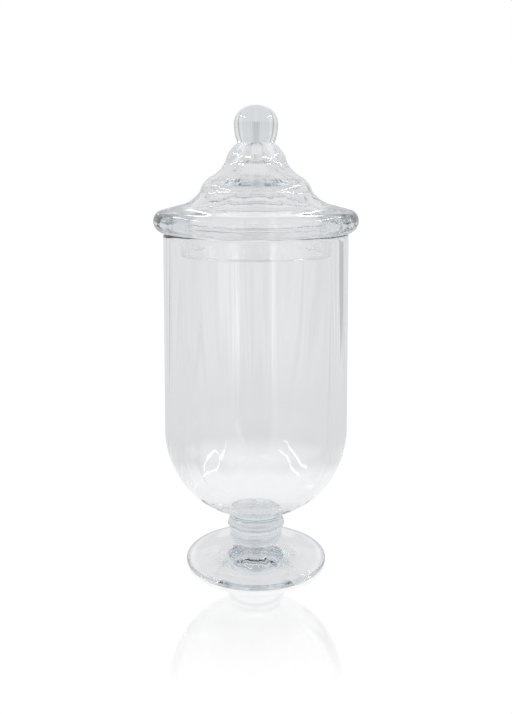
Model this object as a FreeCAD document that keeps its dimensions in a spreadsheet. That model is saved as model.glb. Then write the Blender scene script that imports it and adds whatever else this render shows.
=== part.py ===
"""Footed apothecary jar of clear glass with a lift-off lid: a FreeCAD macro, millimetres, +Z up.

The origin is the middle of the foot's underside. The jar is foot, two stem rings and bowl fused in a
stack; the lid is cover, locating collar and knob, and lifts straight up off the bowl's mouth.
"""

import math
import os

import FreeCAD
import Part
import Sketcher

PARTS_FOLDER = "parts"
SHEET = "Sizes"
FULL_TURN = 360
SAME_PLACE = 1e-4  # millimetres: an edge this near the stated place is the edge meant
MM3_PER_ML = 1000

# Driving sizes, millimetres: name, value, what it is.
SIZES = (
    ("foot_radius", 55.5, "edge of the foot"),
    ("foot_rim_height", 2.6, "thickness of the foot at its edge"),
    ("foot_rim_bulge", 1.2, "how far the foot's round edge bulges"),
    ("foot_rise", 16.5, "height of the foot where the stem stands on it"),
    ("foot_flare_curve", 110.0, "radius of the foot's hollow upper slope"),
    ("foot_rest_width", 7.0, "ground ring that the foot rests on"),
    ("foot_hollow", 3.0, "depth of the dished underside"),
    ("stem_radius", 19.0, "the pinch where two stacked pieces are fused"),
    ("lower_ring_bulge", 1.6, "how far the lower stem ring stands out past the pinch"),
    ("lower_ring_height", 8.7, "height of the lower stem ring"),
    ("upper_ring_bulge", 3.5, "how far the upper stem ring stands out past the pinch"),
    ("upper_ring_height", 8.0, "height of the upper stem ring"),
    ("neck_height", 6.6, "button of solid glass under the bowl"),
    ("neck_fillet", 3.0, "hollow between the button and the bowl"),
    ("bowl_radius", 71.6, "outside of the straight wall"),
    ("bowl_height", 228.8, "upper stem ring to mouth"),
    ("bowl_wall", 6.6, "thickness of the straight wall"),
    ("bowl_floor", 6.4, "glass above the button, at the axis"),
    ("bowl_heel_offset", 4.0, "axis to the centre of the outer heel arc"),
    ("cavity_heel_offset", 11.0, "axis to the centre of the inner heel arc"),
    ("mouth_rounding", 2.0, "fire-polished edges of the mouth"),
    ("lid_seat_gap", 0.3, "clearance between the mouth and the lid resting on it"),
    ("lid_overhang", 7.5, "how far the lid's rim stands out past the bowl"),
    ("lid_rim_height", 16.7, "height of the rolled rim"),
    ("lid_rim_belly_height", 9.2, "height of the rolled rim's widest line"),
    ("lid_rim_undercut", 6.9, "how far the rolled rim draws in to its underside"),
    ("lid_rim_shoulder", 4.1, "how far the rolled rim draws in to its top"),
    ("lid_flare_inset", 18.1, "rim edge to the start of the skirt's curve"),
    ("lid_flare_rise", 3.9, "climb from the rim to the skirt's curve"),
    ("lid_skirt_rise", 11.2, "climb of the skirt's curve"),
    ("lid_skirt_curve", 25.0, "radius of the skirt's hollow curve"),
    ("lid_shoulder_radius", 43.5, "foot of the lower step"),
    ("lid_shoulder_rise", 10.9, "climb of the lower step"),
    ("lid_shoulder_curve", 17.5, "radius of the lower step's round edge"),
    ("lid_waist_radius", 35.2, "top of the lower step"),
    ("lid_waist_rise", 12.3, "climb of the waist"),
    ("lid_waist_curve", 23.0, "radius of the waist's hollow curve"),
    ("lid_crown_radius", 23.6, "foot of the crown"),
    ("lid_crown_rise", 13.7, "climb of the crown up to the knob"),
    ("lid_crown_curve", 24.0, "radius of the crown's round side"),
    ("lid_wall", 8.4, "glass beside the lid's hollow"),
    ("lid_roof", 4.2, "glass above the lid's hollow"),
    ("collar_gap", 5.0, "play between the collar and the inside of the bowl"),
    ("collar_depth", 16.4, "how far the collar drops into the mouth"),
    ("collar_wall", 4.4, "thickness of the collar"),
    ("collar_rounding", 1.5, "edges of the collar's lower end"),
    ("knob_neck_radius", 14.3, "where the knob sits on the crown"),
    ("knob_radius", 17.1, "widest part of the knob"),
    ("knob_side_height", 10.5, "neck to the widest part of the knob"),
    ("knob_band_height", 1.4, "upright band at the widest part of the knob"),
)

# Radii, and heights above each piece's own underside, in terms of the sheet's cells.
STEM_TOP = "Sizes.foot_rise + Sizes.lower_ring_height + Sizes.upper_ring_height"
LID_SEAT = STEM_TOP + " + Sizes.bowl_height + Sizes.lid_seat_gap"
HEEL_RADIUS = "(Sizes.bowl_radius - Sizes.bowl_heel_offset)"
CAVITY_RADIUS = "(Sizes.bowl_radius - Sizes.bowl_wall)"
CAVITY_HEEL_RADIUS = "(Sizes.bowl_radius - Sizes.bowl_wall - Sizes.cavity_heel_offset)"
COLLAR_RADIUS = "(Sizes.bowl_radius - Sizes.bowl_wall - Sizes.collar_gap)"
COLLAR_BORE = "(Sizes.bowl_radius - Sizes.bowl_wall - Sizes.collar_gap - Sizes.collar_wall)"
RIM_RADIUS = "Sizes.bowl_radius + Sizes.lid_overhang"
FLARE_RADIUS = RIM_RADIUS + " - Sizes.lid_flare_inset"
FLARE_TOP = "Sizes.lid_rim_height + Sizes.lid_flare_rise"
SHOULDER_FOOT = FLARE_TOP + " + Sizes.lid_skirt_rise"
WAIST_FOOT = SHOULDER_FOOT + " + Sizes.lid_shoulder_rise"
CROWN_FOOT = WAIST_FOOT + " + Sizes.lid_waist_rise"
CROWN_TOP = CROWN_FOOT + " + Sizes.lid_crown_rise"

ROUND = 1  # an arc that bulges out of the section: its centre lies on the left of the way round
HOLLOW = -1  # an arc that dips into the section: its centre lies on the right


def add_sizes(doc):
    """The spreadsheet that holds every driving size, one aliased cell each."""
    sheet = doc.addObject("Spreadsheet::Sheet", SHEET)
    for row, (name, value, meaning) in enumerate(SIZES, start=1):
        sheet.set(f"A{row}", name)
        sheet.set(f"B{row}", str(value))
        sheet.setAlias(f"B{row}", name)
        sheet.set(f"C{row}", meaning)
    doc.recompute()


def add_body(doc, label, height):
    """An empty body whose underside stands at the given height."""
    body = doc.addObject("PartDesign::Body", label)
    body.Label = label
    body.setExpression(".Placement.Base.z", height)
    return body


def arc_radius(rise, width):
    """Radius of an arc that is level or upright at one end, from its extents."""
    return f"(({rise})^2 + ({width})^2) / (2 * ({rise}))"


def arc_between(start, end, radius, turn):
    """The short arc from start to end, and whether it is stored end first."""
    chord = end - start
    side = FreeCAD.Vector(-chord.y, chord.x, 0).normalize() * turn
    reach = math.sqrt(radius**2 - (chord.Length / 2) ** 2)
    centre = start + chord * 0.5 + side * reach
    first, last = (start, end) if turn == ROUND else (end, start)
    angles = [math.atan2(p.y - centre.y, p.x - centre.x) for p in (first, last)]
    circle = Part.Circle(centre, FreeCAD.Vector(0, 0, 1), radius)
    return Part.ArcOfCircle(circle, *angles), turn == HOLLOW


def bind(sketch, kind, *where, expression):
    """Add one dimension to the sketch and tie it to the sheet."""
    value = sketch.evalExpression(expression)
    index = sketch.addConstraint(Sketcher.Constraint(kind, *where, value))
    sketch.setExpression(f"Constraints[{index}]", expression)


def fix_corner(sketch, edge, end, radius, height):
    """Hold one corner of the outline at its radius and height."""
    for expression, kind, axis in ((radius, "DistanceX", -2), (height, "DistanceY", -1)):
        if expression == "0":
            sketch.addConstraint(Sketcher.Constraint("PointOnObject", edge, end, axis))
        else:
            bind(sketch, kind, -1, 1, edge, end, expression=expression)


def add_outline(body, name, steps):
    """A closed half-section in the XZ plane, drawn down the axis, outwards and back up.

    Each step is a corner (radius, height), or (radius, height, arc radius, turn) when an arc leads up
    to that corner from the one before, and the first follows the last.
    """
    sketch = body.newObject("Sketcher::SketchObject", name)
    plane = next(o for o in body.Origin.OriginFeatures if o.Role == "XZ_Plane")
    sketch.AttachmentSupport = [(plane, "")]
    sketch.MapMode = "FlatFace"
    corners = [
        FreeCAD.Vector(sketch.evalExpression(s[0]), sketch.evalExpression(s[1]), 0) for s in steps
    ]
    ends = []
    for i, start in enumerate(corners):
        step = steps[(i + 1) % len(steps)]
        end = corners[(i + 1) % len(steps)]
        if len(step) == 2:
            edge, backward = Part.LineSegment(start, end), False
        else:
            edge, backward = arc_between(start, end, float(sketch.evalExpression(step[2])), step[3])
        index = sketch.addGeometry(edge, False)
        ends.append((index, 2, 1) if backward else (index, 1, 2))
    for i, (index, first, _) in enumerate(ends):
        before, _, last = ends[i - 1]
        sketch.addConstraint(Sketcher.Constraint("Coincident", before, last, index, first))
        fix_corner(sketch, index, first, steps[i][0], steps[i][1])
    for i, (index, _, _) in enumerate(ends):
        step = steps[(i + 1) % len(steps)]
        if len(step) > 2:
            bind(sketch, "Radius", index, expression=step[2])
    return sketch


def turn_outline(body, kind, name, steps):
    """Turn an outline a full circle about the body's axis: a Revolution adds, a Groove cuts."""
    sketch = add_outline(body, name + "Outline", steps)
    feature = body.newObject("PartDesign::" + kind, name)
    feature.Profile = sketch
    feature.ReferenceAxis = (sketch, ["V_Axis"])
    feature.Angle = FULL_TURN
    sketch.Visibility = False
    body.Document.recompute()
    return feature


def round_rings(body, name, base, rings, expression):
    """Fillet the circular edges of base that lie at the given (radius, height) pairs."""
    wanted = [(body.evalExpression(r), body.evalExpression(z)) for r, z in rings]
    found = []
    for number, edge in enumerate(base.Shape.Edges, start=1):
        curve = edge.Curve
        if not isinstance(curve, Part.Circle):
            continue
        for radius, height in wanted:
            if math.hypot(curve.Radius - radius, curve.Center.z - height) < SAME_PLACE:
                found.append(f"Edge{number}")
    if len(found) != len(wanted):
        raise RuntimeError(f"{name}: found {len(found)} of {len(wanted)} edges to round")
    fillet = body.newObject("PartDesign::Fillet", name)
    fillet.Base = (base, found)
    fillet.setExpression("Radius", expression)
    body.Document.recompute()
    return fillet


def make_foot(doc):
    """The round foot: a rolled edge, a slope up to the stem and a dished underside."""
    body = add_body(doc, "foot", "0")
    rest_radius = "(Sizes.foot_radius - Sizes.foot_rim_bulge)"
    dish_radius = "(Sizes.foot_radius - Sizes.foot_rim_bulge - Sizes.foot_rest_width)"
    turn_outline(
        body,
        "Revolution",
        "FootDisc",
        [
            ("0", "Sizes.foot_rise"),
            ("0", "Sizes.foot_hollow"),
            (dish_radius, "0", arc_radius("Sizes.foot_hollow", dish_radius), HOLLOW),
            (rest_radius, "0"),
            (
                rest_radius,
                "Sizes.foot_rim_height",
                arc_radius("Sizes.foot_rim_bulge", "Sizes.foot_rim_height / 2"),
                ROUND,
            ),
            ("Sizes.stem_radius", "Sizes.foot_rise", "Sizes.foot_flare_curve", HOLLOW),
        ],
    )
    return body


def make_stem_ring(doc, label, height, bulge, ring_height):
    """A solid ring with a round edge, pinched to the stem's radius above and below."""
    body = add_body(doc, label, height)
    half = f"{ring_height} / 2"
    turn_outline(
        body,
        "Revolution",
        "Ring",
        [
            ("0", ring_height),
            ("0", "0"),
            ("Sizes.stem_radius", "0"),
            ("Sizes.stem_radius", ring_height, arc_radius(bulge, half), ROUND),
        ],
    )
    return body


def make_bowl(doc):
    """The bowl: a straight wall on a round heel, standing on a button of solid glass."""
    body = add_body(doc, "bowl", STEM_TOP)
    heel_foot = (
        f"Sizes.neck_height + {HEEL_RADIUS}"
        f" - sqrt({HEEL_RADIUS}^2 - (Sizes.stem_radius - Sizes.bowl_heel_offset)^2)"
    )
    wall_foot = f"Sizes.neck_height + {HEEL_RADIUS}"
    outside = turn_outline(
        body,
        "Revolution",
        "Outside",
        [
            ("0", "Sizes.bowl_height"),
            ("0", "0"),
            ("Sizes.stem_radius", "0"),
            ("Sizes.stem_radius", heel_foot),
            ("Sizes.bowl_radius", wall_foot, HEEL_RADIUS, ROUND),
            ("Sizes.bowl_radius", "Sizes.bowl_height"),
        ],
    )
    necked = round_rings(
        body, "NeckFillet", outside, [("Sizes.stem_radius", heel_foot)], "Sizes.neck_fillet"
    )
    cavity_floor = "Sizes.neck_height + Sizes.bowl_floor"
    cavity = turn_outline(
        body,
        "Groove",
        "Cavity",
        [
            ("0", "Sizes.bowl_height"),
            ("0", cavity_floor),
            ("Sizes.cavity_heel_offset", cavity_floor),
            (CAVITY_RADIUS, f"{cavity_floor} + {CAVITY_HEEL_RADIUS}", CAVITY_HEEL_RADIUS, ROUND),
            (CAVITY_RADIUS, "Sizes.bowl_height"),
        ],
    )
    if cavity.Shape.Volume >= necked.Shape.Volume:
        raise RuntimeError("the bowl's hollow cut nothing away")
    round_rings(
        body,
        "MouthRounding",
        cavity,
        [("Sizes.bowl_radius", "Sizes.bowl_height"), (CAVITY_RADIUS, "Sizes.bowl_height")],
        "Sizes.mouth_rounding",
    )
    return body


def make_lid_cover(doc):
    """The lid's hollow cover: rolled rim, flared skirt, stepped shoulder and crown."""
    body = add_body(doc, "lid_cover", LID_SEAT)
    belly = "Sizes.lid_rim_belly_height"
    above_belly = "(Sizes.lid_rim_height - Sizes.lid_rim_belly_height)"
    outside = turn_outline(
        body,
        "Revolution",
        "CoverOutside",
        [
            ("0", CROWN_TOP),
            ("0", "0"),
            (RIM_RADIUS + " - Sizes.lid_rim_undercut", "0"),
            (RIM_RADIUS, belly, arc_radius("Sizes.lid_rim_undercut", belly), ROUND),
            (
                RIM_RADIUS + " - Sizes.lid_rim_shoulder",
                "Sizes.lid_rim_height",
                arc_radius("Sizes.lid_rim_shoulder", above_belly),
                ROUND,
            ),
            (FLARE_RADIUS, FLARE_TOP),
            ("Sizes.lid_shoulder_radius", SHOULDER_FOOT, "Sizes.lid_skirt_curve", HOLLOW),
            ("Sizes.lid_waist_radius", WAIST_FOOT, "Sizes.lid_shoulder_curve", ROUND),
            ("Sizes.lid_crown_radius", CROWN_FOOT, "Sizes.lid_waist_curve", HOLLOW),
            ("Sizes.knob_neck_radius", CROWN_TOP, "Sizes.lid_crown_curve", ROUND),
        ],
    )
    hollow_crown_radius = "(Sizes.lid_crown_radius - Sizes.lid_wall)"
    hollow = turn_outline(
        body,
        "Groove",
        "CoverHollow",
        [
            (
                "0",
                f"{CROWN_TOP} - Sizes.lid_roof",
                arc_radius("Sizes.lid_crown_rise", hollow_crown_radius),
                ROUND,
            ),
            ("0", "0"),
            (COLLAR_BORE, "0"),
            (COLLAR_BORE, "Sizes.lid_rim_height - Sizes.lid_roof"),
            (
                "Sizes.lid_shoulder_radius - Sizes.lid_wall",
                f"{SHOULDER_FOOT} - Sizes.lid_roof",
                "Sizes.lid_skirt_curve + Sizes.lid_wall",
                HOLLOW,
            ),
            (
                "Sizes.lid_waist_radius - Sizes.lid_roof",
                f"{WAIST_FOOT} - Sizes.lid_wall",
                "Sizes.lid_shoulder_curve - Sizes.lid_wall",
                ROUND,
            ),
            (
                hollow_crown_radius,
                f"{CROWN_FOOT} - Sizes.lid_roof",
                "Sizes.lid_waist_curve + Sizes.lid_wall",
                HOLLOW,
            ),
        ],
    )
    if hollow.Shape.Volume >= outside.Shape.Volume:
        raise RuntimeError("the lid's hollow cut nothing away")
    return body


def make_lid_collar(doc):
    """The plain ring under the cover that drops into the mouth and keeps the lid centred."""
    body = add_body(doc, "lid_collar", f"{LID_SEAT} - Sizes.collar_depth")
    ring = turn_outline(
        body,
        "Revolution",
        "CollarRing",
        [
            (COLLAR_BORE, "0"),
            (COLLAR_RADIUS, "0"),
            (COLLAR_RADIUS, "Sizes.collar_depth"),
            (COLLAR_BORE, "Sizes.collar_depth"),
        ],
    )
    round_rings(
        body,
        "CollarRounding",
        ring,
        [(COLLAR_BORE, "0"), (COLLAR_RADIUS, "0")],
        "Sizes.collar_rounding",
    )
    return body


def make_knob(doc):
    """The solid ball knob, drawn in a little towards the crown."""
    body = add_body(doc, "knob", f"{LID_SEAT} + {CROWN_TOP}")
    swell = "(Sizes.knob_radius - Sizes.knob_neck_radius)"
    band_top = "Sizes.knob_side_height + Sizes.knob_band_height"
    turn_outline(
        body,
        "Revolution",
        "Ball",
        [
            ("0", band_top + " + Sizes.knob_radius", "Sizes.knob_radius", ROUND),
            ("0", "0"),
            ("Sizes.knob_neck_radius", "0"),
            (
                "Sizes.knob_radius",
                "Sizes.knob_side_height",
                arc_radius(swell, "Sizes.knob_side_height"),
                ROUND,
            ),
            ("Sizes.knob_radius", band_top),
        ],
    )
    return body


def check_and_export(doc, bodies):
    """Stop on anything that failed to build, then write one STEP file per piece."""
    for item in doc.Objects:
        if {"Invalid", "Error"} & set(item.State):
            raise RuntimeError(f"{item.Label} failed to build: {item.State}")
    for body in bodies:
        if body.Shape.isNull() or not body.Shape.isValid() or len(body.Shape.Solids) != 1:
            raise RuntimeError(f"{body.Label} isn't one sound solid")
    os.makedirs(PARTS_FOLDER, exist_ok=True)
    for body in bodies:
        body.Shape.exportStep(os.path.join(PARTS_FOLDER, body.Label + ".step"))
        print(f"{body.Label}: {body.Shape.Volume / MM3_PER_ML:.1f} ml of glass")


def main():
    """Build the seven pieces from the sheet and export them."""
    doc = FreeCAD.newDocument("ApothecaryJar")
    add_sizes(doc)
    bodies = [
        make_foot(doc),
        make_stem_ring(
            doc,
            "lower_stem_ring",
            "Sizes.foot_rise",
            "Sizes.lower_ring_bulge",
            "Sizes.lower_ring_height",
        ),
        make_stem_ring(
            doc,
            "upper_stem_ring",
            "Sizes.foot_rise + Sizes.lower_ring_height",
            "Sizes.upper_ring_bulge",
            "Sizes.upper_ring_height",
        ),
        make_bowl(doc),
        make_lid_cover(doc),
        make_lid_collar(doc),
        make_knob(doc),
    ]
    doc.recompute()
    check_and_export(doc, bodies)


main()
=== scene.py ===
"""Footed apothecary jar of clear glass with a lift-off lid, and the studio it stands in.

Metres, +Z up. Every piece is a section drawn in the XZ plane and spun round the jar's axis.
"""

import math

import bmesh
import bpy
from bpy.props import FloatProperty, FloatVectorProperty, IntProperty, PointerProperty
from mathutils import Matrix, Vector, noise


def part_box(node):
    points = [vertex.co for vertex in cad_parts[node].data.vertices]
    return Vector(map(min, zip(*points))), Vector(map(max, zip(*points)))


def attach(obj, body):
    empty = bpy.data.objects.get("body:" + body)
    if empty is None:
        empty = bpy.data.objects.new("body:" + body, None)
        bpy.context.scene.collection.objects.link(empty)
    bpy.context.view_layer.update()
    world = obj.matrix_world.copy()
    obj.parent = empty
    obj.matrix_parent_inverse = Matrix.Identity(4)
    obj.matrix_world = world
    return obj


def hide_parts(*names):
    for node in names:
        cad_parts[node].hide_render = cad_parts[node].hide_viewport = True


bl_info = {
    "name": "Apothecary jar",
    "version": (1, 0, 0),
    "blender": (4, 5, 0),
    "location": "3D View > Sidebar > Apothecary jar",
    "description": "Builds a footed glass apothecary jar with a lift-off lid, and its studio",
    "category": "Object",
}

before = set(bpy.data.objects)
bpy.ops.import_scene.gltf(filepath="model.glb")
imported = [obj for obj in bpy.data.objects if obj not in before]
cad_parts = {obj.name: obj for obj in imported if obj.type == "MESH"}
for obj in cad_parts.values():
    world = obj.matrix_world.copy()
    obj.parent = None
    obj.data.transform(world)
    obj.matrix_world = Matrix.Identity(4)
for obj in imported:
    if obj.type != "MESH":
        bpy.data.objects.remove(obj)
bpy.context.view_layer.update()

MM = 0.001
JAR = "jar"
LID = "lid"
ROUND = 1  # an arc whose centre lies on the left of the way round, so it bulges out of the glass
HOLLOW = -1  # an arc whose centre lies on the right, so it dips into the glass
SEAM = 1  # place of the fused faces' material in a piece's material list
SAME_PLACE = 0.002 * MM  # points nearer than this are one point
SEAM_SLIT = 0.01 * MM  # each fused face stays this far back from its neighbour
SHARP = math.radians(38)  # a turn of the surface that shows as a line
STILL_BAND = 3 * MM  # the skin's unevenness grows over this distance from a fused face
AXIS_BAND = (2 * MM, 12 * MM)  # and between these distances from the axis
FINER = 4.3  # how much closer the fine swells lie


def cad_reach(node):
    """Widest radius, lowest and highest point of a CAD node."""
    low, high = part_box(node)
    return high.x, low.z, high.z


# ---------------------------------------------------------------------------- drawing and spinning


class Section:
    """A half-section in the XZ plane, drawn from one point to the next along its edge."""

    def __init__(self, radius, height, facet):
        self.mesh = bmesh.new()
        self.first = self.mesh.verts.new((radius, 0, height))
        self.tip = self.first
        self.facet = facet

    def line(self, radius, height, parts=1):
        """Straight on to a point, in equal parts."""
        start, end = self.tip.co.copy(), Vector((radius, 0, height))
        for part in range(1, parts + 1):
            self.tip = bmesh.ops.extrude_vert_indiv(self.mesh, verts=[self.tip])["verts"][0]
            self.tip.co = start.lerp(end, part / parts)

    def arc(self, radius, height, curve, turn):
        """On to a point along a circle of radius curve, by turning the tip about its centre."""
        start, end = self.tip.co.copy(), Vector((radius, 0, height))
        chord = end - start
        side = Vector((-chord.z, 0, chord.x)).normalized() * turn
        half = chord.length / 2
        centre = (start + end) / 2 + side * math.sqrt(max(curve**2 - half**2, 0))
        angle = 2 * math.asin(min(1, half / curve))
        spun = bmesh.ops.spin(
            self.mesh,
            geom=[self.tip],
            cent=centre,
            axis=(0, -turn, 0),
            angle=angle,
            steps=max(3, math.ceil(angle * curve / self.facet)),
            use_duplicate=False,
        )
        self.tip = next(g for g in spun["geom_last"] if isinstance(g, bmesh.types.BMVert))
        if (self.tip.co - end).length > MM:
            raise RuntimeError(f"the arc to {radius:.4f}, {height:.4f} went the wrong way")
        self.tip.co = end

    def close(self):
        """Join the end to the start."""
        self.mesh.edges.new((self.tip, self.first))

    def spin(self, segments):
        """Turn the section a full circle about the jar's axis into a closed skin."""
        mesh = self.mesh
        bmesh.ops.spin(
            mesh,
            geom=mesh.verts[:] + mesh.edges[:],
            cent=(0, 0, 0),
            axis=(0, 0, 1),
            angle=math.tau,
            steps=segments,
            use_merge=True,
            use_duplicate=False,
        )
        bmesh.ops.remove_doubles(mesh, verts=mesh.verts, dist=SAME_PLACE)
        bmesh.ops.recalc_face_normals(mesh, faces=mesh.faces)
        return mesh


def level_radius(rise, width):
    """Radius of an arc that is level or upright at one end, from its rise and width."""
    return (rise**2 + width**2) / (2 * rise)


def fade_in(value, start, end):
    """0 before start, 1 after end, and smooth between."""
    t = min(1, max(0, (value - start) / (end - start)))
    return t * t * (3 - 2 * t)


def mark_seams(mesh, seams):
    """Give the faces at each (height, inner radius, outer radius) to the fused seam."""
    for face in mesh.faces:
        for height, inner, outer in seams:
            if all(
                abs(v.co.z - height) < SAME_PLACE
                and inner - SAME_PLACE < math.hypot(v.co.x, v.co.y) < outer + SAME_PLACE
                for v in face.verts
            ):
                face.material_index = SEAM


def crease(mesh):
    """Shade smooth, with a sharp line where a seam ends or the surface turns sharply."""
    for face in mesh.faces:
        face.smooth = True
    for edge in mesh.edges:
        materials = {f.material_index for f in edge.link_faces}
        if len(materials) > 1 or edge.calc_face_angle(0) > SHARP:
            edge.smooth = False


def waver(mesh, depth, around, along, seed, seams=(), fine=0):
    """Push the skin in and out a little, as hand-worked glass is, but leave the fused faces still.

    around and along set how close the swells lie round the skin and up it, and fine is the depth
    of the finer swells as a share of the others'.
    """
    mesh.normal_update()
    for vert in mesh.verts:
        flat = Vector((vert.co.x, vert.co.y, 0))
        if flat.length < MM:
            continue
        side = flat.normalized()
        place = Vector((side.x * around, side.y * around, vert.co.z * along + seed))
        still = min((abs(vert.co.z - height) for height, _, _ in seams), default=1)
        amount = depth * fade_in(still, 0, STILL_BAND) * fade_in(flat.length, *AXIS_BAND)
        swell = noise.noise(place) + fine * noise.noise(place * FINER)
        vert.co += vert.normal * amount * swell


def add_piece(mesh, name, node, body, glass, seams=()):
    """Turn a finished skin into an object that stands for its CAD node and rides on its body."""
    crease(mesh)
    data = bpy.data.meshes.new(name)
    mesh.to_mesh(data)
    mesh.free()
    data.materials.append(glass)
    if seams:
        data.materials.append(fused_seam())
    piece = bpy.data.objects.new(name, data)
    bpy.context.scene.collection.objects.link(piece)
    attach(piece, body)
    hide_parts(node)
    return piece


# ---------------------------------------------------------------------------- materials


def clear_glass(name, look, stretch, ripple, deepening=1):
    """Clear glass with a faint cool body colour and the ripple left by working it.

    stretch scales the ripple's pattern along each axis, and ripple is its depth in metres.
    deepening is how many times faster than the rest of the jar it takes on its colour.
    """
    found = bpy.data.materials.get(name)
    if found:
        return found
    material = bpy.data.materials.new(name)
    material.use_nodes = True
    tree = material.node_tree
    shader = tree.nodes["Principled BSDF"]
    shader.inputs["Base Color"].default_value = (1, 1, 1, 1)
    shader.inputs["Roughness"].default_value = 0
    shader.inputs["IOR"].default_value = look.ior
    shader.inputs["Transmission Weight"].default_value = 1

    place = tree.nodes.new("ShaderNodeTexCoord")
    mapping = tree.nodes.new("ShaderNodeMapping")
    mapping.inputs["Scale"].default_value = stretch
    waves = tree.nodes.new("ShaderNodeTexNoise")
    waves.inputs["Scale"].default_value = 1
    waves.inputs["Detail"].default_value = 1.5
    waves.inputs["Roughness"].default_value = 0.4
    bump = tree.nodes.new("ShaderNodeBump")
    bump.inputs["Strength"].default_value = 1
    bump.inputs["Distance"].default_value = ripple
    tree.links.new(place.outputs["Object"], mapping.inputs["Vector"])
    tree.links.new(mapping.outputs["Vector"], waves.inputs["Vector"])
    tree.links.new(waves.outputs["Fac"], bump.inputs["Height"])
    tree.links.new(bump.outputs["Normal"], shader.inputs["Normal"])

    body = tree.nodes.new("ShaderNodeVolumeAbsorption")
    body.inputs["Color"].default_value = (*look.body_colour, 1)
    body.inputs["Density"].default_value = look.body_density * deepening
    output = tree.nodes["Material Output"]
    tree.links.new(body.outputs["Volume"], output.inputs["Volume"])
    return material


def fused_seam():
    """The face inside the glass where two pieces are melted together: nothing to see."""
    found = bpy.data.materials.get("fused_seam")
    if found:
        return found
    material = bpy.data.materials.new("fused_seam")
    material.use_nodes = True
    tree = material.node_tree
    tree.nodes.remove(tree.nodes["Principled BSDF"])
    through = tree.nodes.new("ShaderNodeBsdfTransparent")
    body = tree.nodes.new("ShaderNodeVolumeAbsorption")
    look = bpy.context.scene.jar_glass
    body.inputs["Color"].default_value = (*look.body_colour, 1)
    body.inputs["Density"].default_value = look.body_density
    output = tree.nodes["Material Output"]
    tree.links.new(through.outputs["BSDF"], output.inputs["Surface"])
    tree.links.new(body.outputs["Volume"], output.inputs["Volume"])
    return material


# ---------------------------------------------------------------------------- settings


def length(name, description, default_mm):
    """A length in metres, given here in millimetres."""
    return FloatProperty(
        name=name, description=description, default=default_mm * MM, unit="LENGTH", precision=5
    )


class JarGlass(bpy.types.PropertyGroup):
    ior: FloatProperty(name="Refraction", description="Index of refraction", default=1.5)
    body_colour: FloatVectorProperty(
        name="Body colour",
        description="Colour that deep glass takes on",
        subtype="COLOR",
        size=3,
        default=(0.60, 0.68, 0.72),
    )
    body_density: FloatProperty(
        name="Body density", description="How fast the body colour deepens", default=2.6
    )
    ripple: length("Ripple", "Depth of the fine ripple", 0.05)
    waver: length("Waver", "Depth of the slow unevenness of the hand-worked skin", 0.25)
    segments: IntProperty(name="Segments", description="Facets round each piece", default=224)
    facet: length("Facet", "Length of a facet along a curve", 1.2)


class JarFoot(bpy.types.PropertyGroup):
    rim_height: length("Rim height", "Thickness at the edge", 2.6)
    rim_bulge: length("Rim bulge", "How far the round edge bulges", 1.2)
    slope_curve: length("Slope curve", "Radius of the hollow upper slope", 110)
    rest_width: length("Rest width", "Ring that touches the ground", 7)
    dish: length("Dish", "Depth of the hollow underside", 3)
    pinch: length("Pinch", "Radius where two stacked pieces are melted together", 19)


class JarBowl(bpy.types.PropertyGroup):
    neck_height: length("Neck", "Button of solid glass under the bowl", 6.6)
    neck_fillet: length("Neck fillet", "Hollow between button and bowl", 3)
    heel_offset: length("Heel offset", "Axis to the centre of the outer heel arc", 4)
    wall: length("Wall", "Mean thickness of the wall", 8.4)
    lean: length("Lean", "How far the hollow sits off the axis", 1.6)
    cavity_heel_offset: length("Inner heel offset", "Axis to the centre of the inner heel arc", 11)
    floor: length("Floor", "Glass above the button", 6.4)
    rounding: length("Mouth rounding", "Fire-polished edges of the mouth", 2)


class JarLid(bpy.types.PropertyGroup):
    rim_height: length("Rim height", "Height of the rolled rim", 16.7)
    belly_height: length("Belly height", "Height of the rim's widest line", 9.2)
    undercut: length("Undercut", "How far the rim draws in to its underside", 6.9)
    rim_shoulder: length("Rim shoulder", "How far the rim draws in to its top", 4.1)
    flare_inset: length("Flare inset", "Rim edge to the start of the skirt's curve", 18.1)
    flare_rise: length("Flare rise", "Climb from the rim to the skirt's curve", 3.9)
    skirt_rise: length("Skirt rise", "Climb of the skirt", 11.2)
    skirt_curve: length("Skirt curve", "Radius of the skirt's hollow curve", 25)
    shoulder_radius: length("Shoulder radius", "Foot of the lower step", 43.5)
    shoulder_rise: length("Shoulder rise", "Climb of the lower step", 10.9)
    shoulder_curve: length("Shoulder curve", "Radius of the lower step's round edge", 17.5)
    waist_radius: length("Waist radius", "Top of the lower step", 35.2)
    waist_rise: length("Waist rise", "Climb of the waist", 12.3)
    waist_curve: length("Waist curve", "Radius of the waist's hollow curve", 23)
    crown_radius: length("Crown radius", "Foot of the crown", 23.6)
    crown_curve: length("Crown curve", "Radius of the crown's round side", 24)
    wall: length("Wall", "Glass beside the lid's hollow", 8.4)
    crown_wall: length("Crown wall", "Glass beside the hollow at the foot of the crown", 11.76)
    roof: length("Roof", "Glass above the lid's hollow", 4.2)
    hollow_tip: length("Hollow tip", "Radius of the round end of the hollow in the crown", 5.5)
    hollow_throat: length("Hollow throat", "Radius of the curve below that end", 14)
    collar_wall: length("Collar wall", "Thickness of the collar", 4.4)
    collar_rounding: length("Collar rounding", "Edges of the collar's lower end", 1.5)
    neck_radius: length("Knob neck", "Radius where the knob sits on the crown", 14.3)


class JarKnob(bpy.types.PropertyGroup):
    side_height: length("Side height", "Neck to the widest line", 13.0)
    shoulder_curve: length("Shoulder curve", "Radius where the side turns into the top", 13.5)
    top_curve: length("Top curve", "Radius of the flattened top", 21)
    deepening: FloatProperty(
        name="Deepening",
        description="How many times faster the knob's glass takes on its colour",
        default=3.5,
    )


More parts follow.
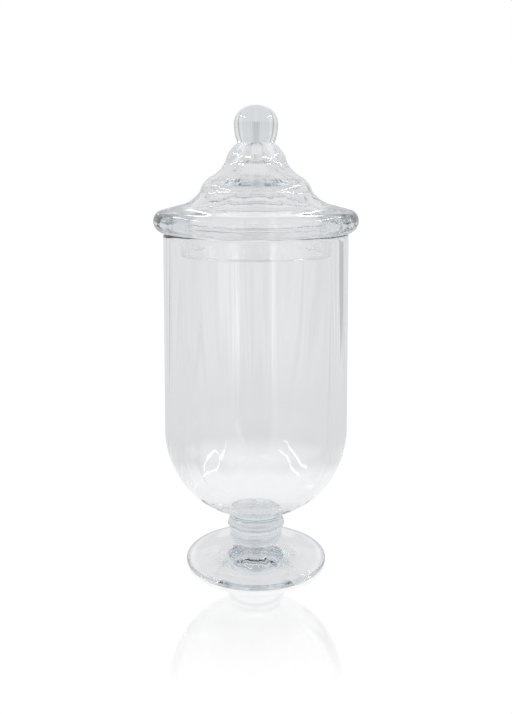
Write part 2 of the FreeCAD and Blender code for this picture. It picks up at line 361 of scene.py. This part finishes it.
class JarStage(bpy.types.PropertyGroup):
    distance: length("Distance", "Camera to the jar's axis", 635)
    height: length("Height", "Camera above the floor", 314)
    tilt: FloatProperty(
        name="Tilt",
        description="Camera below level",
        default=math.radians(5.24),
        subtype="ANGLE",
    )
    lens: FloatProperty(name="Lens", description="Focal length in millimetres", default=41.35)
    shift: FloatProperty(name="Shift", description="Vertical shift of the lens", default=-0.1633)
    backdrop: FloatProperty(
        name="Backdrop", description="Brightness of the room seen through the glass", default=0.83
    )
    strip_width: length("Strip width", "Width of each overhead strip light", 40)
    strip_length: length("Strip length", "Length of each overhead strip light", 1300)
    strip_out: length("Strip distance", "Axis to each strip light", 1000)
    strip_height: length("Strip height", "Floor to each strip light", 1020)
    strip_lean: FloatProperty(
        name="Strip lean",
        description="How far each strip light turns from straight down",
        default=math.radians(56),
        subtype="ANGLE",
    )
    strip_power: FloatProperty(
        name="Strip power",
        description="Power of each overhead strip light",
        default=2.6,
        unit="POWER",
    )


# ---------------------------------------------------------------------------- pieces


def plain_glass():
    """The solid glass of the foot and the stem."""
    look = bpy.context.scene.jar_glass
    return clear_glass("pressed_glass", look, (90, 90, 90), look.ripple)


def lid_glass():
    """The lid's glass, which is rippled more deeply and widely."""
    look = bpy.context.scene.jar_glass
    return clear_glass("lid_glass", look, (70, 70, 70), look.ripple * 2)


class JARBUILDER_OT_foot(bpy.types.Operator):
    """Build the round foot with its rolled edge, slope and dished underside"""

    bl_idname = "jarbuilder.foot"
    bl_label = "Foot"

    def execute(self, context):
        size, look = context.scene.jar_foot, context.scene.jar_glass
        radius, low, high = cad_reach("foot")
        rest = radius - size.rim_bulge
        dish_edge = rest - size.rest_width
        top = high - SEAM_SLIT
        section = Section(0, low + size.dish, look.facet)
        section.arc(dish_edge, low, level_radius(size.dish, dish_edge), HOLLOW)
        section.line(rest, low, 3)
        rim_curve = level_radius(size.rim_bulge, size.rim_height / 2)
        section.arc(rest, low + size.rim_height, rim_curve, ROUND)
        section.arc(size.pinch, top, size.slope_curve, HOLLOW)
        section.line(0, top, 6)
        mesh = section.spin(look.segments)
        seams = [(top, 0, size.pinch)]
        mark_seams(mesh, seams)
        still = seams + [(low, 0, 0)]
        waver(mesh, look.waver * 0.8, around=3, along=60, seed=1.7, seams=still, fine=0.3)
        add_piece(mesh, "glass_foot", "foot", JAR, plain_glass(), seams)
        return {"FINISHED"}


class JARBUILDER_OT_stem_rings(bpy.types.Operator):
    """Build the two solid rings of the stem"""

    bl_idname = "jarbuilder.stem_rings"
    bl_label = "Stem rings"

    def execute(self, context):
        look, pinch = context.scene.jar_glass, context.scene.jar_foot.pinch
        for node in ("lower_stem_ring", "upper_stem_ring"):
            radius, low, high = cad_reach(node)
            low += SEAM_SLIT
            high -= SEAM_SLIT
            section = Section(0, low, look.facet / 2)
            section.line(pinch, low, 6)
            section.arc(pinch, high, level_radius(radius - pinch, (high - low) / 2), ROUND)
            section.line(0, high, 6)
            mesh = section.spin(look.segments)
            seams = [(low, 0, pinch), (high, 0, pinch)]
            mark_seams(mesh, seams)
            depth, seed = look.waver * 1.3, low * 1000
            waver(mesh, depth, around=3.5, along=90, seed=seed, seams=seams, fine=0.4)
            add_piece(mesh, "glass_" + node, node, JAR, plain_glass(), seams)
        return {"FINISHED"}


class JARBUILDER_OT_bowl(bpy.types.Operator):
    """Build the bowl: straight wall, round heel and the button of glass under it"""

    bl_idname = "jarbuilder.bowl"
    bl_label = "Bowl"

    def execute(self, context):
        size, look = context.scene.jar_bowl, context.scene.jar_glass
        pinch = context.scene.jar_foot.pinch
        radius, low, mouth = cad_reach("bowl")
        neck = low + size.neck_height
        low += SEAM_SLIT
        heel = radius - size.heel_offset
        wall_foot = neck + heel

        # The fillet touches the button's side and the heel's arc.
        fillet = size.neck_fillet
        fillet_across = pinch + fillet - size.heel_offset
        fillet_height = wall_foot - math.sqrt((heel + fillet) ** 2 - fillet_across**2)
        share = heel / (heel + fillet)
        meet_radius = size.heel_offset + fillet_across * share
        meet_height = wall_foot + (fillet_height - wall_foot) * share

        inner = radius - size.wall
        inner_heel = inner - size.cavity_heel_offset
        floor = neck + size.floor
        rounding = size.rounding
        section = Section(0, low, look.facet)
        section.line(pinch, low, 6)
        section.line(pinch, fillet_height, 4)
        section.arc(meet_radius, meet_height, fillet, HOLLOW)
        section.arc(radius, wall_foot, heel, ROUND)
        section.line(radius, mouth - rounding, 40)
        section.arc(radius - rounding, mouth, rounding, ROUND)
        section.line(inner + rounding, mouth, 3)
        section.arc(inner, mouth - rounding, rounding, ROUND)
        section.line(inner, floor + inner_heel, 40)
        section.arc(size.cavity_heel_offset, floor, inner_heel, HOLLOW)
        section.line(0, floor, 6)
        mesh = section.spin(look.segments)
        seams = [(low, 0, pinch)]
        mark_seams(mesh, seams)

        # The hollow leans off the axis, which leaves one side of the wall thicker.
        for vert in mesh.verts:
            across = math.hypot(vert.co.x, vert.co.y)
            outside = self.outside_at(vert.co.z, size.heel_offset, wall_foot, heel)
            if vert.co.z > floor - MM and across < outside - MM:
                vert.co.x -= size.lean * fade_in(radius - across, 0, size.wall)
        waver(mesh, look.waver, around=6, along=1.5, seed=3.1, seams=seams)
        glass = clear_glass("drawn_glass", look, (140, 140, 5), look.ripple)
        add_piece(mesh, "glass_bowl", "bowl", JAR, glass, seams)
        return {"FINISHED"}

    @staticmethod
    def outside_at(height, heel_offset, wall_foot, heel):
        """Outer radius of the bowl at a height."""
        drop = max(0, wall_foot - height)
        return heel_offset + math.sqrt(max(0, heel**2 - drop**2))


class JARBUILDER_OT_lid_cover(bpy.types.Operator):
    """Build the lid's hollow cover: rolled rim, flared skirt, stepped shoulder and crown"""

    bl_idname = "jarbuilder.lid_cover"
    bl_label = "Lid cover"

    def execute(self, context):
        size, look = context.scene.jar_lid, context.scene.jar_glass
        radius, seat, crown_top = cad_reach("lid_cover")
        collar = cad_reach("lid_collar")[0]
        bore = collar - size.collar_wall
        seat += SEAM_SLIT
        crown_top -= SEAM_SLIT
        rim_top = seat + size.rim_height
        flare_top = rim_top + size.flare_rise
        shoulder_foot = flare_top + size.skirt_rise
        waist_foot = shoulder_foot + size.shoulder_rise
        crown_foot = waist_foot + size.waist_rise
        above_belly = size.rim_height - size.belly_height
        inner_crown = size.crown_radius - size.crown_wall

        section = Section(bore, seat, look.facet)
        section.line(collar, seat, 3)
        section.line(radius - size.undercut, seat, 6)
        belly_curve = level_radius(size.undercut, size.belly_height)
        section.arc(radius, seat + size.belly_height, belly_curve, ROUND)
        rim_curve = level_radius(size.rim_shoulder, above_belly)
        section.arc(radius - size.rim_shoulder, rim_top, rim_curve, ROUND)
        section.line(radius - size.flare_inset, flare_top, 8)
        section.arc(size.shoulder_radius, shoulder_foot, size.skirt_curve, HOLLOW)
        section.arc(size.waist_radius, waist_foot, size.shoulder_curve, ROUND)
        section.arc(size.crown_radius, crown_foot, size.waist_curve, HOLLOW)
        section.arc(size.neck_radius, crown_top, size.crown_curve, ROUND)
        section.line(0, crown_top, 6)

        hollow = Section(0, crown_top - size.roof, look.facet / 2)
        tip = size.hollow_tip
        hollow.arc(tip, crown_top - size.roof - tip, tip, HOLLOW)
        hollow.arc(inner_crown, crown_foot - size.roof, size.hollow_throat, ROUND)
        hollow.arc(
            size.waist_radius - size.roof,
            waist_foot - size.wall,
            size.waist_curve + size.wall,
            ROUND,
        )
        hollow.arc(
            size.shoulder_radius - size.wall,
            shoulder_foot - size.roof,
            size.shoulder_curve - size.wall,
            HOLLOW,
        )
        hollow.arc(bore, rim_top - size.roof, size.skirt_curve + size.wall, ROUND)
        hollow.line(bore, seat, 8)
        data = bpy.data.meshes.new("lid_hollow_section")
        hollow.mesh.to_mesh(data)
        hollow.mesh.free()
        section.mesh.from_mesh(data)
        bpy.data.meshes.remove(data)

        mesh = section.spin(look.segments)
        seams = [(seat, bore, collar), (crown_top, 0, size.neck_radius)]
        mark_seams(mesh, seams)
        waver(mesh, look.waver * 1.4, around=5, along=45, seed=7.7, seams=seams, fine=0.3)
        add_piece(mesh, "glass_lid_cover", "lid_cover", LID, lid_glass(), seams)
        return {"FINISHED"}


class JARBUILDER_OT_lid_collar(bpy.types.Operator):
    """Build the plain ring that drops into the mouth"""

    bl_idname = "jarbuilder.lid_collar"
    bl_label = "Lid collar"

    def execute(self, context):
        size, look = context.scene.jar_lid, context.scene.jar_glass
        radius, low, high = cad_reach("lid_collar")
        bore = radius - size.collar_wall
        high -= SEAM_SLIT
        rounding = size.collar_rounding
        section = Section(bore + rounding, low, look.facet / 2)
        section.line(radius - rounding, low, 2)
        section.arc(radius, low + rounding, rounding, ROUND)
        section.line(radius, high, 10)
        section.line(bore, high, 3)
        section.line(bore, low + rounding, 10)
        section.arc(bore + rounding, low, rounding, ROUND)
        section.close()
        mesh = section.spin(look.segments)
        seams = [(high, bore, radius)]
        mark_seams(mesh, seams)
        waver(mesh, look.waver * 1.4, around=6, along=40, seed=9.9, seams=seams, fine=0.3)
        add_piece(mesh, "glass_lid_collar", "lid_collar", LID, lid_glass(), seams)
        return {"FINISHED"}


class JARBUILDER_OT_knob(bpy.types.Operator):
    """Build the solid ball knob"""

    bl_idname = "jarbuilder.knob"
    bl_label = "Knob"

    def execute(self, context):
        size, look = context.scene.jar_knob, context.scene.jar_glass
        neck = context.scene.jar_lid.neck_radius
        radius, low, top = cad_reach("knob")
        low += SEAM_SLIT
        # The shoulder's arc starts upright at the widest line and meets the top's arc.
        across = radius - size.shoulder_curve
        drop = math.sqrt((size.top_curve - size.shoulder_curve) ** 2 - across**2)
        widest = top - size.top_curve + drop
        share = size.top_curve / (size.top_curve - size.shoulder_curve)
        section = Section(0, low, look.facet / 2)
        section.line(neck, low, 6)
        section.arc(radius, widest, level_radius(radius - neck, widest - low), ROUND)
        section.arc(across * share, top - size.top_curve + drop * share, size.shoulder_curve, ROUND)
        section.arc(0, top, size.top_curve, ROUND)
        mesh = section.spin(look.segments)
        seams = [(low, 0, neck)]
        mark_seams(mesh, seams)
        waver(mesh, look.waver * 0.5, around=2, along=40, seed=12.3, seams=seams)
        glass = clear_glass("knob_glass", look, (90, 90, 90), look.ripple, size.deepening)
        add_piece(mesh, "glass_knob", "knob", LID, glass, seams)
        return {"FINISHED"}


# ---------------------------------------------------------------------------- stage


def ramp(tree, stops, smooth=True):
    """A colour ramp of grey values."""
    node = tree.nodes.new("ShaderNodeValToRGB")
    node.color_ramp.interpolation = "B_SPLINE" if smooth else "LINEAR"
    points = node.color_ramp.elements
    while len(points) < len(stops):
        points.new(1)
    for point, (place, value) in zip(points, stops):
        point.position = place
        point.color = (value, value, value, 1)
    return node


def maths(tree, operation, *values):
    """A Math node whose inputs are numbers or sockets."""
    node = tree.nodes.new("ShaderNodeMath")
    node.operation = operation
    for socket, value in zip(node.inputs, values):
        if isinstance(value, (int, float)):
            socket.default_value = value
        else:
            tree.links.new(value, socket)
    return node.outputs[0]


SENSOR = 36  # millimetres
GLASS_BOUNCES = 32  # light crosses many skins inside the lid and the stem
STRIP_NEARER = -30 * MM  # the strips hang this much nearer the camera than the jar
TABLE_RADIUS = 12
TABLE_GAP = 0.05 * MM  # air under the foot, so that its underside stays a face of its own
TABLE_WHITE = 1.03  # makes up for the little that the polish takes away
POLISH_ROUGHNESS = 0.06
DRAWN_FOR = 0.8  # the backdrop's brightness that the greys below are meant for

# How bright the room is: place round it from the camera's side (0) to the far side (1), and grey.
# The bright stop is a window, and the narrow dark one a flag that draws the line of the inner wall.
ROOM_ROUND = [
    (0.0, 0.64),
    (0.09, 0.58),
    (0.112, 0.66),
    (0.117, 2.2),
    (0.125, 2.2),
    (0.13, 1.0),
    (0.34, 0.95),
    (0.42, 0.72),
    (0.50, 0.62),
    (0.58, 0.68),
    (0.70, 0.74),
    (0.765, 0.74),
    (0.772, 0.45),
    (0.79, 0.45),
    (0.797, 0.74),
    (1.0, 0.74),
]
# The same from the horizon (0) to straight up (1), and the far corners that flank the view.
ROOM_CLIMB = [(0.0, 0.92), (0.3, 1.0), (0.6, 0.9), (1.0, 0.85)]
ROOM_CORNERS = [(0.0, 1.0), (0.8, 1.0), (0.87, 1.3), (0.93, 1.3), (0.97, 0.85), (1.0, 0.8)]
ROOM_TINT = (0.985, 0.995, 1.015)
PAPER_BANDS = 70  # how close the uneven bands on the walls lie
PAPER_DEPTH = 0.36  # how much they vary

# How far the table's polish reaches: distance from the jar's axis in metres, and share.
TABLE_POLISH = [(0.0, 0.25), (0.10, 0.25), (0.18, 0.0)]
TABLE_ENDS = (0.3, 0.9)  # seen through glass, the table gives way to the room between these


def round_the_room(tree, east, north):
    """Share of the way round from the camera's side to the far side."""
    turn = maths(tree, "ARCTAN2", east, maths(tree, "MULTIPLY", north, -1.0))
    return maths(tree, "DIVIDE", maths(tree, "ABSOLUTE", turn), math.pi)


def room_walls(tree, share):
    """Brightness of the room round its walls, with faint uneven bands as hung paper has."""
    walls = ramp(tree, ROOM_ROUND, smooth=False)
    tree.links.new(share, walls.inputs[0])
    bands = tree.nodes.new("ShaderNodeTexNoise")
    bands.noise_dimensions = "1D"
    bands.inputs["Scale"].default_value = PAPER_BANDS
    bands.inputs["Detail"].default_value = 4
    bands.inputs["Roughness"].default_value = 0.65
    tree.links.new(share, bands.inputs["W"])
    uneven = maths(tree, "MULTIPLY_ADD", bands.outputs["Fac"], PAPER_DEPTH, 1 - PAPER_DEPTH / 2)
    return maths(tree, "MULTIPLY", walls.outputs[0], uneven)


def tinted(tree, grey):
    """The room's faint cool tint on a brightness."""
    colour = tree.nodes.new("ShaderNodeMix")
    colour.data_type = "RGBA"
    colour.blend_type = "MULTIPLY"
    colour.inputs[0].default_value = 1
    colour.inputs[7].default_value = (*ROOM_TINT, 1)
    tree.links.new(grey, colour.inputs[6])
    return colour.outputs[2]


def make_world(scene, backdrop):
    """A grey room for the glass to show, and plain white for whatever the camera sees directly."""
    world = bpy.data.worlds.new("studio")
    scene.world = world
    world.use_nodes = True
    world.cycles.sampling_method = "NONE"  # nothing in the room is rough enough to need it
    tree = world.node_tree
    tree.nodes.clear()
    place = tree.nodes.new("ShaderNodeTexCoord")
    axes = tree.nodes.new("ShaderNodeSeparateXYZ")
    tree.links.new(place.outputs["Generated"], axes.inputs[0])
    east, north, up = axes.outputs

    share = round_the_room(tree, east, north)
    walls = room_walls(tree, share)

    climb = ramp(tree, ROOM_CLIMB)
    tree.links.new(up, climb.inputs[0])
    corners = ramp(tree, ROOM_CORNERS)
    tree.links.new(share, corners.inputs[0])
    lit = maths(tree, "MULTIPLY", walls, corners.outputs[0])
    grey = tinted(tree, maths(tree, "MULTIPLY", lit, climb.outputs[0]))
    room = tree.nodes.new("ShaderNodeBackground")
    tree.links.new(grey, room.inputs["Color"])
    room.inputs["Strength"].default_value = backdrop / DRAWN_FOR

    # The polished table shows the white screen that hangs over the set.
    path = tree.nodes.new("ShaderNodeLightPath")
    early = maths(tree, "LESS_THAN", path.outputs["Ray Depth"], 2.5)
    polish = maths(tree, "MULTIPLY", path.outputs["Is Glossy Ray"], early)
    above = maths(tree, "MULTIPLY", polish, maths(tree, "GREATER_THAN", up, 0.3))
    screen = tree.nodes.new("ShaderNodeBackground")
    screen.inputs["Color"].default_value = (1, 1, 1, 1)
    surroundings = tree.nodes.new("ShaderNodeMixShader")
    tree.links.new(above, surroundings.inputs[0])
    tree.links.new(room.outputs[0], surroundings.inputs[1])
    tree.links.new(screen.outputs[0], surroundings.inputs[2])

    seen = tree.nodes.new("ShaderNodeBackground")
    seen.inputs["Color"].default_value = (1, 1, 1, 1)
    mix = tree.nodes.new("ShaderNodeMixShader")
    output = tree.nodes.new("ShaderNodeOutputWorld")
    tree.links.new(path.outputs["Is Camera Ray"], mix.inputs[0])
    tree.links.new(surroundings.outputs[0], mix.inputs[1])
    tree.links.new(seen.outputs[0], mix.inputs[2])
    tree.links.new(mix.outputs[0], output.inputs["Surface"])


# How bright the table looks through glass, with its light and shade painted in: distance from the
# jar's axis in metres, and grey. The table under the foot is painted darker as the foot's shade, and
# the band round it is painted brighter as lit table. Under the foot's edge lie a painted contact
# shadow and, just inside it, a painted bright line of light that the edge casts.
TABLE_LIGHT = [
    (0.0, 0.74),
    (0.0505, 0.74),
    (0.0512, 0.98),
    (0.0522, 0.98),
    (0.0528, 0.55),
    (0.0565, 0.55),
    (0.058, 0.84),
    (0.10, 0.90),
    (0.21, 0.90),
    (0.34, 0.70),
    (1.0, 0.74),
]


def floor_material(backdrop):
    """A pale polished table: white with a faint reflection seen directly, and grey through glass,
    with painted light and shade round the foot.
    """
    material = bpy.data.materials.new("pale_table")
    material.use_nodes = True
    tree = material.node_tree
    tree.nodes.clear()
    place = tree.nodes.new("ShaderNodeTexCoord")
    axes = tree.nodes.new("ShaderNodeSeparateXYZ")
    tree.links.new(place.outputs["Object"], axes.inputs[0])
    reach = tree.nodes.new("ShaderNodeVectorMath")
    reach.operation = "LENGTH"
    tree.links.new(place.outputs["Object"], reach.inputs[0])

    # painted light and shade of the table seen through glass: shade under the foot, a contact shadow
    # and a bright line at its edge, and a brighter band round it
    lit = ramp(tree, TABLE_LIGHT, smooth=False)
    tree.links.new(reach.outputs["Value"], lit.inputs[0])
    walls = room_walls(tree, round_the_room(tree, *axes.outputs[:2]))
    far = tree.nodes.new("ShaderNodeMapRange")
    far.interpolation_type = "SMOOTHSTEP"
    far.inputs["From Min"].default_value = TABLE_ENDS[0]
    far.inputs["From Max"].default_value = TABLE_ENDS[1]
    tree.links.new(reach.outputs["Value"], far.inputs["Value"])
    grey = tree.nodes.new("ShaderNodeMix")
    tree.links.new(far.outputs[0], grey.inputs["Factor"])
    tree.links.new(lit.outputs[0], grey.inputs["A"])
    tree.links.new(walls, grey.inputs["B"])
    through = tree.nodes.new("ShaderNodeEmission")
    tree.links.new(tinted(tree, grey.outputs[0]), through.inputs["Color"])
    through.inputs["Strength"].default_value = backdrop / DRAWN_FOR

    white = tree.nodes.new("ShaderNodeEmission")
    white.inputs["Color"].default_value = (1, 1, 1, 1)
    white.inputs["Strength"].default_value = TABLE_WHITE
    mirror = tree.nodes.new("ShaderNodeBsdfGlossy")
    mirror.inputs["Color"].default_value = (1, 1, 1, 1)
    mirror.inputs["Roughness"].default_value = POLISH_ROUGHNESS
    near = ramp(tree, TABLE_POLISH, smooth=False)
    tree.links.new(reach.outputs["Value"], near.inputs[0])
    polished = tree.nodes.new("ShaderNodeMixShader")
    tree.links.new(near.outputs[0], polished.inputs[0])
    tree.links.new(white.outputs[0], polished.inputs[1])
    tree.links.new(mirror.outputs[0], polished.inputs[2])

    path = tree.nodes.new("ShaderNodeLightPath")
    mix = tree.nodes.new("ShaderNodeMixShader")
    output = tree.nodes.new("ShaderNodeOutputMaterial")
    tree.links.new(path.outputs["Is Camera Ray"], mix.inputs[0])
    tree.links.new(through.outputs[0], mix.inputs[1])
    tree.links.new(polished.outputs[0], mix.inputs[2])
    tree.links.new(mix.outputs[0], output.inputs["Surface"])
    return material


class JARBUILDER_OT_stage(bpy.types.Operator):
    """Set out the table, the room, the lights and the camera"""

    bl_idname = "jarbuilder.stage"
    bl_label = "Stage"

    def execute(self, context):
        scene = context.scene
        size = scene.jar_stage
        make_world(scene, size.backdrop)

        table = bmesh.new()
        bmesh.ops.create_circle(table, cap_ends=True, segments=96, radius=TABLE_RADIUS)
        bmesh.ops.translate(table, verts=table.verts, vec=(0, 0, -TABLE_GAP))
        data = bpy.data.meshes.new("table")
        table.to_mesh(data)
        table.free()
        data.materials.append(floor_material(size.backdrop))
        floor = bpy.data.objects.new("table", data)
        scene.collection.objects.link(floor)

        for side, name in ((-1, "strip_left"), (1, "strip_right")):
            strip = bpy.data.lights.new(name, "AREA")
            strip.shape = "RECTANGLE"
            strip.size = size.strip_width
            strip.size_y = size.strip_length
            strip.energy = size.strip_power
            holder = bpy.data.objects.new(name, strip)
            holder.location = (side * size.strip_out, STRIP_NEARER, size.strip_height)
            holder.rotation_euler = (0, side * size.strip_lean, 0)
            scene.collection.objects.link(holder)

        lens = bpy.data.cameras.new("camera")
        lens.lens = size.lens
        lens.sensor_width = SENSOR
        lens.shift_y = size.shift
        camera = bpy.data.objects.new("camera", lens)
        camera.location = (0, -size.distance, size.height)
        camera.rotation_euler = (math.pi / 2 - size.tilt, 0, 0)
        scene.collection.objects.link(camera)
        scene.camera = camera

        scene.view_settings.view_transform = "Standard"
        scene.cycles.max_bounces = GLASS_BOUNCES
        scene.cycles.transmission_bounces = GLASS_BOUNCES
        scene.cycles.glossy_bounces = 16
        scene.cycles.transparent_max_bounces = 24  # fused faces
        return {"FINISHED"}


# ---------------------------------------------------------------------------- sidebar


class JARBUILDER_PT_panel(bpy.types.Panel):
    """Lists the jar's pieces, with a button to build each"""

    bl_idname = "JARBUILDER_PT_panel"
    bl_label = "Apothecary jar"
    bl_space_type = "VIEW_3D"
    bl_region_type = "UI"
    bl_category = "Apothecary jar"

    def draw(self, context):
        for settings in SETTINGS:
            box = self.layout.box()
            box.label(text=settings[4:].capitalize())
            for name in getattr(context.scene, settings).__annotations__:
                box.prop(getattr(context.scene, settings), name)
        for operator in OPERATORS:
            self.layout.operator(operator.bl_idname)


SETTINGS = {
    "jar_glass": JarGlass,
    "jar_foot": JarFoot,
    "jar_bowl": JarBowl,
    "jar_lid": JarLid,
    "jar_knob": JarKnob,
    "jar_stage": JarStage,
}
OPERATORS = (
    JARBUILDER_OT_foot,
    JARBUILDER_OT_stem_rings,
    JARBUILDER_OT_bowl,
    JARBUILDER_OT_lid_cover,
    JARBUILDER_OT_lid_collar,
    JARBUILDER_OT_knob,
    JARBUILDER_OT_stage,
)


def register():
    for group in SETTINGS.values():
        bpy.utils.register_class(group)
    for name, group in SETTINGS.items():
        setattr(bpy.types.Scene, name, PointerProperty(type=group))
    for operator in OPERATORS:
        bpy.utils.register_class(operator)
    bpy.utils.register_class(JARBUILDER_PT_panel)


def unregister():
    bpy.utils.unregister_class(JARBUILDER_PT_panel)
    for operator in reversed(OPERATORS):
        bpy.utils.unregister_class(operator)
    for name, group in SETTINGS.items():
        delattr(bpy.types.Scene, name)
        bpy.utils.unregister_class(group)


def main():
    """Build the jar piece by piece and set the stage."""
    register()
    bpy.ops.jarbuilder.foot()
    bpy.ops.jarbuilder.stem_rings()
    bpy.ops.jarbuilder.bowl()
    bpy.ops.jarbuilder.lid_cover()
    bpy.ops.jarbuilder.lid_collar()
    bpy.ops.jarbuilder.knob()
    bpy.ops.jarbuilder.stage()


if __name__ == "__main__":
    main()
